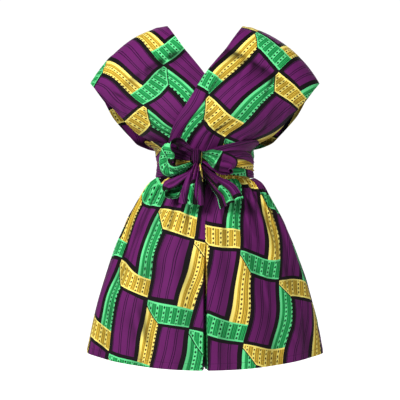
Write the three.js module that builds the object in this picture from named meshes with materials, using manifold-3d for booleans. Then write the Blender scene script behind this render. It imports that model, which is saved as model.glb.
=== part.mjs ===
// A multiway wrap romper in printed cotton, worn shape with no wearer: two broad straps sewn to the waist
// cross over the chest, cap the shoulders, cross again behind, come round the waist and tie in a bow in
// front. Below the waistband are wide, gathered shorts. Millimetres, +Z up, front towards -Y, the wearer's
// left at +X. The origin is midway between the shoulders, at the height where the straps lie on them.
import * as THREE from "three";
import Module from "manifold-3d";
import { mergeVertices } from "three/addons/utils/BufferGeometryUtils.js";

const wasm = await Module();
wasm.setup();

// ---- Driving sizes ----
const clothWall = 1.2; // a cloth wall's thickness
const seamGap = 0.3; // between pieces that are sewn or lie together
const stretchGap = 0.0012; // the same between two stretches of a strap, in stations
const waistSeam = -362; // height where the shorts meet the waistband
const bandTop = -312; // top edge of the waistband
const hemSide = -790; // height of the hem at the side seams
const hemDrop = 28; // how much lower it hangs in the middle
const crotchDepth = 120; // from where the middle seam starts to turn under to where the legs part
const legGap = 0.9; // from the middle to the middle of an inner leg's cloth
const innerRadius = 5; // how the front of a leg rounds into its inner side
const slit = { height: 45, open: 2 }; // the slit between the legs opens at the hem
const band = { columns: 64, inside: 0.4 }; // the waistband's facets, and how far it lies inside the form
const knot = { x: -19, y: -134, z: -312, halfX: 14, halfY: 18, halfZ: 22, pleats: 3, depth: 0.07 };
const facets = { strap: 12, sash: 16, ribbon: 10, knotRound: 24, knotHigh: 16 }; // across each piece
const degrees = Math.PI / 180;

// ---- The form that the cloth lies on: a general figure, with room for the arms ----
// front and back are how far the cloth stands from the middle; frontHalf and backHalf are half its width.
const form = [
  { z: 60, front: 50, back: 50, frontHalf: 330, backHalf: 330 },
  { z: -43, front: 72, back: 72, frontHalf: 327, backHalf: 328 },
  { z: -80, front: 90, back: 90, frontHalf: 324, backHalf: 325 },
  { z: -106, front: 101, back: 98, frontHalf: 321, backHalf: 325 },
  { z: -150, front: 114, back: 104, frontHalf: 308, backHalf: 318 },
  { z: -192, front: 121, back: 102, frontHalf: 264, backHalf: 296 },
  { z: -224, front: 117, back: 98, frontHalf: 230, backHalf: 268 },
  { z: -249, front: 108, back: 93, frontHalf: 192, backHalf: 246 },
  { z: -264, front: 103, back: 91, frontHalf: 160, backHalf: 228 },
  { z: -277, front: 98, back: 88, frontHalf: 129, backHalf: 178 },
  { z: -288, front: 94, back: 86, frontHalf: 116, backHalf: 128 },
  { z: -300, front: 90, back: 84, frontHalf: 112, backHalf: 114 },
  { z: -320, front: 87, back: 82, frontHalf: 110, backHalf: 110 },
  { z: -370, front: 89, back: 86, frontHalf: 112, backHalf: 112 },
];
const bust = { rise: 10, x: 78, z: -188, spreadX: 55, spreadZ: 58 };

// One strap, laid out for the left side and mirrored for the right. The four lines that run along it are
// its neck edge, two inner lines and its sleeve edge. Each row is a station across the strap. On the chest
// a line is at [x, z]; ridge is the shoulder line, where the strap turns to the back.
const chest = [
  { at: 0, neck: [-100, -330], inner: [-31, -334], outer: [57, -332], sleeve: [107, -326] },
  { at: 0.2, neck: [-79, -238], inner: [-12, -251], outer: [58, -267], sleeve: [118, -278] },
  { at: 0.4, neck: [-37, -168], inner: [31, -198], outer: [100, -224], sleeve: [166, -249] },
  { at: 0.6, neck: [2, -106], inner: [70, -142], outer: [141, -175], sleeve: [211, -204] },
  { at: 0.8, neck: [51, -43], inner: [122, -80], outer: [188, -120], sleeve: [249, -163] },
];
const ridge = { neck: [94, 19], inner: [170, -8], outer: [235, -59], sleeve: [284, -124] };
// Behind and round the waist a line is at [turn, z], the turn in degrees from the front by way of the left
// side.
const wrap = [
  { at: 1.2, neck: [168, -28], inner: [157, -66], outer: [143, -112], sleeve: [126, -165] },
  { at: 1.4, neck: [174, -84], inner: [163, -128], outer: [150, -175], sleeve: [127, -217] },
  { at: 1.6, neck: [180, -140], inner: [171, -184], outer: [156, -226], sleeve: [130, -262] },
  { at: 1.8, neck: [190, -196], inner: [180, -236], outer: [164, -268], sleeve: [121, -288] },
  { at: 2.0, neck: [202, -243], inner: [197, -272], outer: [186, -305], sleeve: [158, -332] },
  { at: 2.2, neck: [210, -268], inner: [222, -298], outer: [220, -327], sleeve: [208, -356] },
  { at: 2.4, neck: [268, -289], inner: [268, -313], outer: [266, -337], sleeve: [264, -360] },
  { at: 2.6, neck: [308, -259], inner: [308, -292], outer: [308, -326], sleeve: [308, -357] },
  { at: 2.8, neck: [334, -276], inner: [334, -300], outer: [334, -323], sleeve: [334, -345] },
  { at: 3.0, neck: [350, -299], inner: [350, -310], outer: [350, -320], sleeve: [350, -331] },
];
const sashStart = { at: 2.4, turn: 268 }; // where a strap has come round to the side and is called the sash
const sashReach = { left: 0.93, right: 1.2 }; // the knot stands to the right of the middle

// How far each strap lies out from the form: the left one is on top in front, the right one on top behind.
const strapLayers = {
  left: [
    { at: 0, out: 6.6 },
    { at: 0.2, out: 7.4 },
    { at: 0.6, out: 6.4 },
    { at: 0.85, out: 1.5 },
    { at: 1.3, out: 3 },
    { at: 1.6, out: 2.4 },
    { at: 2.25, out: 3.8 },
    { at: 2.4, out: 9.5 },
    { at: 2.6, out: 13 },
    { at: 2.8, out: 18 },
    { at: 3, out: 27 },
  ],
  right: [
    { at: 0, out: 2.6 },
    { at: 0.6, out: 2.2 },
    { at: 0.85, out: 1.5 },
    { at: 1.3, out: 4.5 },
    { at: 1.5, out: 6.4 },
    { at: 2.25, out: 8.4 },
    { at: 2.4, out: 9.5 },
    { at: 2.6, out: 13 },
    { at: 2.8, out: 18 },
    { at: 3, out: 27 },
  ],
};

// Soft ridges along a strap: where each lies across it (0 neck edge, 1 sleeve edge), how high it stands,
// half its width, and the stations between which it shows.
const strapFolds = {
  left: [
    { across: 0.13, height: 3.2, half: 0.1, from: 0, to: 0.78 },
    { across: 0.4, height: 2.8, half: 0.12, from: -0.1, to: 0.5 },
    { across: 0.72, height: 3.2, half: 0.12, from: -0.1, to: 0.62 },
    { across: 0.3, height: 1.2, half: 0.14, from: 1.2, to: 1.75 },
    { across: 0.7, height: 1.5, half: 0.14, from: 1.1, to: 1.7 },
    { across: 0.12, height: 3.5, half: 0.14, from: 2.3, to: 3.2 },
    { across: 0.38, height: 5, half: 0.13, from: 2.3, to: 3.2 },
    { across: 0.64, height: 4, half: 0.13, from: 2.3, to: 3.2 },
    { across: 0.88, height: 3, half: 0.12, from: 2.3, to: 3.2 },
  ],
  right: [
    { across: 0.62, height: 1.4, half: 0.12, from: 0.1, to: 0.6 },
    { across: 0.85, height: 1.6, half: 0.12, from: -0.1, to: 0.7 },
    { across: 0.2, height: 3, half: 0.12, from: 1.2, to: 2.3 },
    { across: 0.5, height: 4, half: 0.14, from: 1.3, to: 2.5 },
    { across: 0.8, height: 4, half: 0.14, from: 1.15, to: 2.4 },
    { across: 0.14, height: 4, half: 0.13, from: 2.3, to: 3.2 },
    { across: 0.4, height: 5, half: 0.13, from: 2.3, to: 3.2 },
    { across: 0.66, height: 4.5, half: 0.13, from: 2.3, to: 3.2 },
    { across: 0.9, height: 3, half: 0.11, from: 2.3, to: 3.2 },
  ],
};

// ---- Shorts ----
// Down a leg, from the waist seam (0) to the hem (1): half the width of both legs, and how far they stand
// from the middle in front and behind.
const flare = [
  { down: 0, half: 113, front: 90, back: 88 },
  { down: 0.035, half: 137, front: 106, back: 105 },
  { down: 0.106, half: 158, front: 121, back: 125 },
  { down: 0.247, half: 193, front: 140, back: 153 },
  { down: 0.5, half: 239, front: 160, back: 176 },
  { down: 0.75, half: 272, front: 175, back: 188 },
  { down: 1, half: 294, front: 186, back: 198 },
];
// Gathers from the waist seam, each a ridge: its place from the middle (0) to the side seam (1), its height
// at the seam, how far down it shows, and its height at the hem.
const gathers = {
  front: [
    { place: 0.07, height: 5, reach: 0.5, atHem: 0 },
    { place: 0.22, height: 6, reach: 0.95, atHem: 7 },
    { place: 0.37, height: 5, reach: 0.4, atHem: 0 },
    { place: 0.51, height: 6, reach: 0.8, atHem: 6 },
    { place: 0.65, height: 5, reach: 0.45, atHem: 0 },
    { place: 0.79, height: 6, reach: 0.9, atHem: 6 },
    { place: 0.93, height: 5, reach: 0.5, atHem: 0 },
  ],
  back: [
    { place: 0.07, height: 5, reach: 0.6, atHem: 0 },
    { place: 0.21, height: 6, reach: 0.5, atHem: 4 },
    { place: 0.36, height: 5, reach: 0.9, atHem: 8 },
    { place: 0.5, height: 6, reach: 0.4, atHem: 0 },
    { place: 0.64, height: 5, reach: 0.8, atHem: 7 },
    { place: 0.79, height: 6, reach: 0.5, atHem: 0 },
    { place: 0.93, height: 5, reach: 0.7, atHem: 3 },
  ],
};
const gatherHalf = { waist: 0.072, hem: 0.17 }; // half a gather's width at the seam and at the hem

// ---- Curves through tables ----
// One column of a table, read at a place along it by a smooth curve that never overshoots its rows. A
// column is its name, or a function that takes it from a row.
function read(rows, key, place, column) {
  const value = typeof column === "function" ? column : (row) => row[column];
  const last = rows.length - 1;
  const rising = rows[last][key] > rows[0][key] ? 1 : -1;
  let i = 0;
  while (i < last - 1 && (place - rows[i + 1][key]) * rising > 0) i++;
  const slope = (k) => (value(rows[k + 1]) - value(rows[k])) / (rows[k + 1][key] - rows[k][key]);
  const tangent = (k) => {
    if (k === 0) return slope(0);
    if (k === last) return slope(last - 1);
    const before = slope(k - 1);
    const after = slope(k);
    return before * after > 0 ? (2 * before * after) / (before + after) : 0;
  };
  const span = rows[i + 1][key] - rows[i][key];
  const u = THREE.MathUtils.clamp((place - rows[i][key]) / span, 0, 1);
  const keep = (1 + 2 * u) * (1 - u) ** 2;
  return (
    keep * value(rows[i]) +
    (1 - keep) * value(rows[i + 1]) +
    span * (u * (1 - u) ** 2 * tangent(i) - u * u * (1 - u) * tangent(i + 1))
  );
}

// The cubic through four values that stand at 0, 1/3, 2/3 and 1 across a strap.
function across(values, w) {
  const [p, q, r, s] = values;
  const v = 3 * w;
  return (
    (-p * (v - 1) * (v - 2) * (v - 3)) / 6 +
    (q * v * (v - 2) * (v - 3)) / 2 -
    (r * v * (v - 1) * (v - 3)) / 2 +
    (s * v * (v - 1) * (v - 2)) / 6
  );
}

const strapLines = ["neck", "inner", "outer", "sleeve"];
const stationPair = (rows, at, w) =>
  [0, 1].map((k) => across(strapLines.map((line) => read(rows, "at", at, (row) => row[line][k])), w));

const fade = (u) => THREE.MathUtils.smoothstep(u, 0, 1);
const bump = (u) => (Math.abs(u) < 1 ? 0.5 + 0.5 * Math.cos(Math.PI * u) : 0);

// ---- Cloth walls ----
// A wall is worked out from a grid of points on its middle surface, which may have places with no point.
// Unit normals of the grid, from the differences between neighbours. Where an edge is a seam, seams gives
// the axis that the wall must not lean along there, so that the pieces on both sides meet on one plane.
function gridNormals(grid, seams = {}) {
  const columns = grid[0].length;
  return grid.map((row, i) =>
    row.map((p, j) => {
      if (!p) return null;
      const alongRow = new THREE.Vector3().subVectors(row[j + 1] || p, row[j - 1] || p);
      const down = new THREE.Vector3().subVectors(grid[i + 1]?.[j] || p, grid[i - 1]?.[j] || p);
      const normal = alongRow.cross(down);
      if (i === 0 && seams.top) normal[seams.top] = 0;
      if (j === 0 && seams.first) normal[seams.first] = 0;
      if (j === columns - 1 && seams.last) normal[seams.last] = 0;
      if (!row[j + 1] && j < columns - 1 && seams.inner) normal[seams.inner] = 0;
      return normal.normalize();
    }),
  );
}

const moved = (grid, distance, seams) => {
  const normals = gridNormals(grid, seams);
  return grid.map((row, i) =>
    row.map((p, j) => p && p.clone().addScaledVector(normals[i][j], distance(i, j))),
  );
};

// The closed wall on both sides of a grid: its outer face, its inner face and the rim along every open
// edge.
function wall(grid, seams) {
  const rows = grid.length;
  const columns = grid[0].length;
  const number = grid.map((row) => row.map(() => -1));
  let count = 0;
  for (let i = 0; i < rows; i++) {
    for (let j = 0; j < columns; j++) if (grid[i][j]) number[i][j] = count++;
  }
  const faces = [clothWall / 2, -clothWall / 2].map((out) => moved(grid, () => out, seams).flat());
  const position = faces.flat().filter((p) => p).flatMap((p) => [p.x, p.y, p.z]);
  const index = [];
  const isCell = (i, j) =>
    i >= 0 && j >= 0 && i < rows - 1 && j < columns - 1 &&
    grid[i][j] && grid[i][j + 1] && grid[i + 1][j] && grid[i + 1][j + 1];
  const quad = (a, b, c, d) => index.push(a, b, c, a, c, d);
  const rim = (a, b) => quad(b, a, count + a, count + b);
  for (let i = 0; i < rows - 1; i++) {
    for (let j = 0; j < columns - 1; j++) {
      if (!isCell(i, j)) continue;
      const [a, b, c, d] = [number[i][j], number[i][j + 1], number[i + 1][j + 1], number[i + 1][j]];
      quad(a, b, c, d);
      quad(count + a, count + d, count + c, count + b);
      if (!isCell(i - 1, j)) rim(a, b);
      if (!isCell(i, j + 1)) rim(b, c);
      if (!isCell(i + 1, j)) rim(c, d);
      if (!isCell(i, j - 1)) rim(d, a);
    }
  }
  const geometry = new THREE.BufferGeometry();
  geometry.setAttribute("position", new THREE.Float32BufferAttribute(position, 3));
  geometry.setIndex(index);
  return geometry;
}

// Mirroring turns a wall inside out, and this turns its faces round again.
function turnInsideOut(geometry) {
  const index = geometry.index.array;
  for (let k = 0; k < index.length; k += 3) [index[k], index[k + 1]] = [index[k + 1], index[k]];
}

// ---- Joining and cutting ----
function solid(geometry) {
  const merged = mergeVertices(geometry.clone(), 1e-4);
  return new wasm.Manifold(
    new wasm.Mesh({
      numProp: 3,
      vertProperties: merged.attributes.position.array,
      triVerts: new Uint32Array(merged.index.array),
    }),
  );
}

function geometryOf(manifold) {
  const { vertProperties, triVerts, numProp } = manifold.getMesh();
  const geometry = new THREE.BufferGeometry();
  geometry.setAttribute("position", new THREE.Float32BufferAttribute(vertProperties, numProp));
  geometry.setIndex(Array.from(triVerts));
  return geometry;
}

// What is left of a piece, as one body, when another is cut out of it.
function cutBy(geometry, cutter) {
  const bodies = solid(geometry)
    .subtract(solid(cutter))
    .decompose()
    .sort((a, b) => b.volume() - a.volume());
  return geometryOf(bodies[0]);
}

// ---- Straps ----
const evenly = (count, from, to) =>
  Array.from({ length: count + 1 }, (_, i) => from + ((to - from) * i) / count);

function frontDepth(x, z) {
  const u = (Math.abs(x) - bust.x) / bust.spreadX;
  const v = (z - bust.z) / bust.spreadZ;
  const rise = bust.rise * Math.exp(-u * u - v * v);
  const reach = Math.min(Math.abs(x) / read(form, "z", z, "frontHalf"), 1);
  return (read(form, "z", z, "front") + rise) * Math.sqrt(1 - reach * reach);
}

// A point on the form at a turn from the front and a height.
function formPoint(turn, z) {
  const s = Math.sin(turn * degrees);
  const c = Math.cos(turn * degrees);
  if (c < 0) return new THREE.Vector3(read(form, "z", z, "backHalf") * s, -read(form, "z", z, "back") * c, z);
  const x = read(form, "z", z, "frontHalf") * s;
  return new THREE.Vector3(x, -frontDepth(x, z), z);
}

// The way out of the form on the chest at (x, z), and at a turn and a height.
function chestNormal(x, z) {
  const slopeX = (frontDepth(x + 1, z) - frontDepth(x - 1, z)) / 2;
  const slopeZ = (frontDepth(x, z + 1) - frontDepth(x, z - 1)) / 2;
  return new THREE.Vector3(-slopeX, -1, -slopeZ).normalize();
}

function formNormal(turn, z) {
  const round = formPoint(turn + 1, z).sub(formPoint(turn - 1, z));
  const up = formPoint(turn, z + 2).sub(formPoint(turn, z - 2));
  return round.cross(up).normalize();
}

// A point of the strap on the form and the way out there. at counts stations along it, w runs across it
// from the neck edge, and reach is how far round the waist it goes. Over the shoulder it bends from the
// chest to the back by a quarter of an ellipse on each side of the shoulder line.
function strapPlace(at, w, reach) {
  const first = chest[chest.length - 1].at;
  const second = wrap[0].at;
  if (at <= first) {
    const [x, z] = stationPair(chest, at, w);
    return { point: new THREE.Vector3(x, -frontDepth(x, z), z), normal: chestNormal(x, z) };
  }
  if (at >= second) {
    const [turn, z] = stationPair(wrap, at, w);
    const further = Math.max(turn - sashStart.turn, 0);
    const reached = turn + further * (reach - 1);
    return { point: formPoint(reached, z), normal: formNormal(reached, z) };
  }
  const front = at < 1;
  const foot = strapPlace(front ? first : second, w, reach);
  const [ridgeX, ridgeZ] = [0, 1].map((k) => across(strapLines.map((line) => ridge[line][k]), w));
  const top = new THREE.Vector3(ridgeX, 0, ridgeZ);
  const quarter = (Math.PI / 2) * (front ? (1 - at) / (1 - first) : (at - 1) / (second - 1));
  const away = 1 - Math.cos(quarter);
  const point = new THREE.Vector3(
    top.x + (foot.point.x - top.x) * away,
    foot.point.y * Math.sin(quarter),
    top.z + (foot.point.z - top.z) * away,
  );
  const up = new THREE.Vector3(top.x - foot.point.x, 0, top.z - foot.point.z).normalize();
  const normal = foot.normal.clone().multiplyScalar(Math.sin(quarter)).addScaledVector(up, Math.cos(quarter));
  return { point, normal: normal.normalize() };
}

function foldHeight(folds, at, w) {
  let height = 0;
  for (const fold of folds) {
    const middle = (fold.from + fold.to) / 2;
    const half = (fold.to - fold.from) / 2;
    const shown = 1 - fade((Math.abs(at - middle) / half - 0.55) / 0.45);
    height += fold.height * shown * bump((w - fold.across) / fold.half);
  }
  return height;
}

// Stations along each stretch, closer together where it goes over the shoulder.
const stretches = {
  chest: [...evenly(9, 0, 0.76), ...evenly(5, 0.81, 1 - stretchGap)],
  behind: [...evenly(4, 1, 1.2), ...evenly(13, 1.28, sashStart.at - stretchGap)],
  sash: evenly(10, sashStart.at, 3),
};

// One stretch of a strap, as the grid of its middle surface.
function strapGrid(side, stretch, columns) {
  const reach = sashReach[side];
  const grid = stretches[stretch].map((at) =>
    evenly(columns, 0, 1).map((w) => {
      const out = read(strapLayers[side], "at", at, "out") + foldHeight(strapFolds[side], at, w);
      const { point, normal } = strapPlace(at, w, reach);
      return point.addScaledVector(normal, out);
    }),
  );
  if (side === "left") return grid;
  return grid.map((row) => row.map((p) => new THREE.Vector3(-p.x, p.y, p.z))).reverse();
}

// ---- Shorts ----
// How far down a row of the leg's grid is, from the waist seam (0) to the hem (1). The row after which the
// middle seam turns under is the crotch row, and the inner leg's columns begin there.
const legRows = [0, 0.03, 0.075, 0.135, 0.215, 0.315, 0.42, 0.52, 0.62, 0.72, 0.82, 0.91, 1];
const crotchRow = 5;
const innerColumns = 6;
const frontColumns = 28;

// A quarter of the shorts as a grid, from the side seam round the front to the inner leg's seam. Above the
// crotch row it ends at the middle seam, and below it there are the columns of the inner leg.
function legGrid(face) {
  const length = waistSeam - seamGap - (hemSide - hemDrop);
  const heightAt = (down, x, half) =>
    waistSeam - seamGap - down * (length - hemDrop * Math.min(x / half, 1) ** 2);
  const crotchDown = legRows[crotchRow];
  const crotchReach = read(flare, "down", crotchDown, face);
  return legRows.map((down, i) => {
    const half = read(flare, "down", down, "half");
    const depth = read(flare, "down", down, face);
    const below = Math.max((down - crotchDown) / (1 - crotchDown), 0);
    const height = (1 - down) * length;
    const opening = slit.open * fade(1 - height / slit.height);
    const middle = i < crotchRow ? seamGap / 2 : legGap + opening;
    const radius = innerRadius * fade(below * 3);
    const start = Math.asin((middle + radius) / half) / degrees;
    const end = 90 - seamGap / 2 / depth / degrees;
    const front = evenly(frontColumns, 0, 1).map((share) => {
      const turn = (end + (start - end) * share) * degrees;
      const x = half * Math.sin(turn);
      return { x, y: -depth * Math.cos(turn), z: heightAt(down, x, half), place: 1 - share, down };
    });
    const inner = evenly(innerColumns, 0, 1).slice(1).map((share) => {
      if (i < crotchRow) return null;
      const round = Math.min(share / 0.3, 1) * 90 * degrees;
      const crotchY = Math.cos(share * 90 * degrees);
      const crotchZ = heightAt(crotchDown, 0, 1) - crotchDepth * Math.sin(share * 90 * degrees);
      const reach = crotchReach + (depth - crotchReach) * Math.min(below * 2, 1);
      const rounded = radius * (1 - Math.cos(round)) * (1 - share);
      const y = rounded - reach * (crotchY + (1 - share - crotchY) * below);
      return {
        x: middle + radius * (1 - Math.sin(round)),
        y: Math.min(y, -seamGap / 2),
        z: crotchZ + (heightAt(1, 0, 1) - crotchZ) * below,
        place: 0,
        down,
      };
    });
    return [...front, ...inner];
  });
}

function gatherHeight(face, place, down) {
  const half = THREE.MathUtils.lerp(gatherHalf.waist, gatherHalf.hem, fade(down));
  let height = 0;
  for (const gather of gathers[face]) {
    const atSeam = gather.height * (1 - fade(down / gather.reach));
    height += (atSeam + gather.atHem * fade(down)) * bump((place - gather.place) / half);
  }
  return height * fade(place / 0.05) * fade((1 - place) / 0.05);
}

// The wall of one quarter of the shorts, worked out at the front left and turned to its place.
function shortsPanel(face, side) {
  const leg = legGrid(face);
  const flat = leg.map((row) => row.map((p) => p && new THREE.Vector3(p.x, p.y, p.z)));
  const seams = { top: "z", first: "y", inner: "x", last: "y" };
  const geometry = wall(
    moved(flat, (i, j) => gatherHeight(face, leg[i][j].place, leg[i][j].down), seams),
    seams,
  );
  const mirror = side === "left" ? 1 : -1;
  const behind = face === "back" ? -1 : 1;
  geometry.scale(mirror, behind, 1);
  if (mirror * behind < 0) turnInsideOut(geometry);
  return geometry;
}

// ---- Waistband ----
// A ring just inside the form, made as a grid that closes on itself.
function waistband() {
  const { columns, inside } = band;
  const heights = evenly(2, bandTop, waistSeam);
  const position = [];
  for (const face of [1, -1]) {
    for (const z of heights) {
      for (let j = 0; j < columns; j++) {
        const turn = (360 * j) / columns;
        const p = formPoint(turn, z).addScaledVector(formNormal(turn, z), (face * clothWall) / 2 - inside);
        position.push(p.x, p.y, z);
      }
    }
  }
  const index = [];
  const at = (layer, i, j) => (layer * heights.length + i) * columns + (j % columns);
  const quad = (a, b, c, d) => index.push(a, b, c, a, c, d);
  const lowest = heights.length - 1;
  for (let j = 0; j < columns; j++) {
    for (let i = 0; i < lowest; i++) {
      quad(at(0, i, j), at(0, i + 1, j), at(0, i + 1, j + 1), at(0, i, j + 1));
      quad(at(1, i, j), at(1, i, j + 1), at(1, i + 1, j + 1), at(1, i + 1, j));
    }
    quad(at(0, 0, j), at(0, 0, j + 1), at(1, 0, j + 1), at(1, 0, j));
    quad(at(0, lowest, j + 1), at(0, lowest, j), at(1, lowest, j), at(1, lowest, j + 1));
  }
  const geometry = new THREE.BufferGeometry();
  geometry.setAttribute("position", new THREE.Float32BufferAttribute(position, 3));
  geometry.setIndex(index);
  return geometry;
}

// ---- Bow ----
// Each ribbon follows its rows: the middle of the cloth, the way its width points, how wide it is there,
// and how far its middle is crowned out. folds are ridges along it.
const ribbons = {
  bow_loop_right: {
    rows: [
      { x: -24, y: -134, z: -304, wx: 0.1, wy: -0.9, wz: 0.3, width: 18, crown: 2 },
      { x: -44, y: -140, z: -291, wx: 0.35, wy: -0.8, wz: 0.4, width: 32, crown: 3 },
      { x: -64, y: -140, z: -278, wx: 0.5, wy: -0.75, wz: 0.45, width: 46, crown: 2 },
      { x: -84, y: -135, z: -286, wx: 0.6, wy: -0.75, wz: 0.3, width: 56, crown: 4 },
      { x: -92, y: -130, z: -310, wx: 0.6, wy: -0.75, wz: 0.2, width: 60, crown: 5 },
      { x: -91, y: -131, z: -334, wx: 0.5, wy: -0.7, wz: 0.4, width: 58, crown: 4 },
      { x: -74, y: -137, z: -342, wx: 0.25, wy: -0.75, wz: 0.45, width: 46, crown: 3 },
      { x: -48, y: -140, z: -333, wx: 0.1, wy: -0.85, wz: 0.4, width: 32, crown: 2 },
      { x: -24, y: -134, z: -318, wx: 0, wy: -0.9, wz: 0.4, width: 16, crown: 1 },
    ],
    folds: [
      { across: 0.3, height: 3, half: 0.25 },
      { across: 0.78, height: 3, half: 0.22 },
    ],
    colour: "green",
  },
  bow_lobe_right: {
    rows: [
      { x: -22, y: -134, z: -334, wx: 0.2, wy: -0.85, wz: -0.3, width: 14, crown: 1 },
      { x: -48, y: -136, z: -355, wx: 0.2, wy: -0.8, wz: -0.4, width: 28, crown: 2 },
      { x: -72, y: -134, z: -370, wx: 0.3, wy: -0.75, wz: -0.4, width: 40, crown: 3 },
      { x: -91, y: -129, z: -380, wx: 0.4, wy: -0.75, wz: -0.35, width: 42, crown: 3 },
      { x: -90, y: -129, z: -393, wx: 0.3, wy: -0.75, wz: -0.4, width: 40, crown: 2 },
      { x: -70, y: -131, z: -394, wx: 0.1, wy: -0.8, wz: -0.4, width: 38, crown: 2 },
      { x: -44, y: -132, z: -377, wx: 0.1, wy: -0.85, wz: -0.35, width: 26, crown: 2 },
      { x: -21, y: -133, z: -342, wx: 0, wy: -0.9, wz: -0.3, width: 12, crown: 1 },
    ],
    folds: [
      { across: 0.35, height: 3, half: 0.2 },
      { across: 0.8, height: 2, half: 0.2 },
    ],
    colour: "purple",
  },
  bow_tail_right: {
    rows: [
      { x: -18, y: -146, z: -331, wx: 1, wy: 0, wz: 0, width: 16, crown: 2 },
      { x: -21, y: -158, z: -346, wx: 1, wy: 0, wz: 0.1, width: 30, crown: 4 },
      { x: -29, y: -165, z: -372, wx: 1, wy: 0, wz: 0.15, width: 50, crown: 3 },
      { x: -36, y: -165, z: -402, wx: 1, wy: 0, wz: 0.2, width: 64, crown: 2 },
      { x: -39, y: -162, z: -422, wx: 1, wy: 0, wz: 0.2, width: 70, crown: 2 },
    ],
    folds: [
      { across: 0.25, height: 9, half: 0.16 },
      { across: 0.55, height: 8, half: 0.14 },
      { across: 0.85, height: 7, half: 0.13 },
    ],
    colour: "purple",
  },
  bow_loop_left: {
    rows: [
      { x: -10, y: -134, z: -300, wx: -0.2, wy: -0.9, wz: -0.4, width: 16, crown: 2 },
      { x: 14, y: -142, z: -303, wx: -0.3, wy: -0.75, wz: -0.6, width: 34, crown: 3 },
      { x: 42, y: -143, z: -311, wx: -0.35, wy: -0.7, wz: -0.65, width: 52, crown: 4 },
      { x: 68, y: -138, z: -326, wx: -0.4, wy: -0.75, wz: -0.5, width: 54, crown: 4 },
      { x: 64, y: -136, z: -343, wx: -0.3, wy: -0.8, wz: -0.4, width: 46, crown: 3 },
      { x: 38, y: -140, z: -346, wx: -0.1, wy: -0.85, wz: -0.3, width: 34, crown: 2 },
      { x: 12, y: -138, z: -334, wx: 0, wy: -0.9, wz: -0.2, width: 24, crown: 2 },
      { x: -10, y: -134, z: -321, wx: 0, wy: -0.9, wz: 0, width: 16, crown: 1 },
    ],
    folds: [
      { across: 0.3, height: 3, half: 0.22 },
      { across: 0.75, height: 3, half: 0.2 },
    ],
    colour: "green",
  },
  bow_tail_left: {
    rows: [
      { x: -12, y: -130, z: -331, wx: 0.8, wy: 0, wz: 0.4, width: 14, crown: 1 },
      { x: 6, y: -130, z: -352, wx: 0.85, wy: 0, wz: 0.45, width: 22, crown: 2 },
      { x: 28, y: -134, z: -374, wx: 0.9, wy: -0.1, wz: 0.45, width: 36, crown: 3 },
      { x: 52, y: -142, z: -396, wx: 0.95, wy: -0.1, wz: 0.35, width: 54, crown: 3 },
      { x: 64, y: -148, z: -422, wx: 1, wy: -0.1, wz: 0.25, width: 62, crown: 2 },
    ],
    folds: [
      { across: 0.2, height: 8, half: 0.15 },
      { across: 0.52, height: 9, half: 0.14 },
      { across: 0.85, height: 7, half: 0.13 },
    ],
    colour: "purple",
  },
};

function ribbonGrid(ribbon, rows, columns) {
  const middle = new THREE.CatmullRomCurve3(
    ribbon.rows.map((row) => new THREE.Vector3(row.x, row.y, row.z)),
    false,
    "centripetal",
  );
  const steps = ribbon.rows.map((row, i) => ({ at: i / (ribbon.rows.length - 1), ...row }));
  return evenly(rows, 0, 1).map((at) => {
    const centre = middle.getPoint(at);
    const tangent = middle.getTangent(at);
    const width = new THREE.Vector3(...["wx", "wy", "wz"].map((key) => read(steps, "at", at, key)));
    width.addScaledVector(tangent, -width.dot(tangent)).normalize();
    const out = new THREE.Vector3().crossVectors(tangent, width).normalize();
    return evenly(columns, 0, 1).map((w) => {
      const v = 2 * w - 1;
      const lift =
        read(steps, "at", at, "crown") * (1 - v * v) +
        ribbon.folds.reduce((sum, fold) => sum + fold.height * bump((w - fold.across) / fold.half), 0);
      return centre
        .clone()
        .addScaledVector(width, (v * read(steps, "at", at, "width")) / 2)
        .addScaledVector(out, lift);
    });
  });
}

// The knot: a bean of gathered cloth whose pleats run over it from top to bottom.
function knotGeometry(pad) {
  const ball = new THREE.SphereGeometry(1, facets.knotRound, facets.knotHigh);
  ball.deleteAttribute("normal");
  ball.deleteAttribute("uv");
  const geometry = mergeVertices(ball, 1e-4);
  const position = geometry.attributes.position;
  for (let i = 0; i < position.count; i++) {
    const p = new THREE.Vector3().fromBufferAttribute(position, i);
    const pleat = 1 + knot.depth * Math.cos(2 * Math.PI * knot.pleats * p.x);
    position.setXYZ(
      i,
      knot.x + p.x * (knot.halfX + pad),
      knot.y + p.y * (knot.halfY * pleat + pad),
      knot.z + p.z * (knot.halfZ * pleat + pad),
    );
  }
  return geometry;
}

// ---- Build ----
const romper = new THREE.Group();
const colours = { purple: 0x6a2270, dark: 0x4d1a55, green: 0x35b566, gold: 0xe2b63c };
function add(name, geometry, colour) {
  geometry.computeVertexNormals();
  const material = new THREE.MeshStandardMaterial({ color: colours[colour], roughness: 0.75, metalness: 0 });
  const mesh = new THREE.Mesh(geometry, material);
  mesh.name = name;
  romper.add(mesh);
}

const knotRoom = knotGeometry(seamGap);
for (const side of ["left", "right"]) {
  for (const face of ["front", "back"]) {
    add(`shorts_${face}_${side}`, shortsPanel(face, side), "purple");
  }
  add(`strap_${side}_chest`, wall(strapGrid(side, "chest", facets.strap)), "green");
  add(`strap_${side}_behind`, wall(strapGrid(side, "behind", facets.strap)), "gold");
  add(`sash_${side}`, cutBy(wall(strapGrid(side, "sash", facets.sash)), knotRoom), "dark");
}
add("waistband", waistband(), "purple");
for (const [name, ribbon] of Object.entries(ribbons)) {
  const rows = (ribbon.rows.length - 1) * 2;
  add(name, cutBy(wall(ribbonGrid(ribbon, rows, facets.ribbon)), knotRoom), ribbon.colour);
}
add("bow_knot", knotGeometry(0), "dark");

export default romper;
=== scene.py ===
# A multiway wrap romper in printed cotton, in its worn shape with no wearer. Every piece but the knot is a thin cloth
# wall on the form of its part, in millimetres while it is worked out and in metres in its mesh.
import math
from functools import partialmethod

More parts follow.
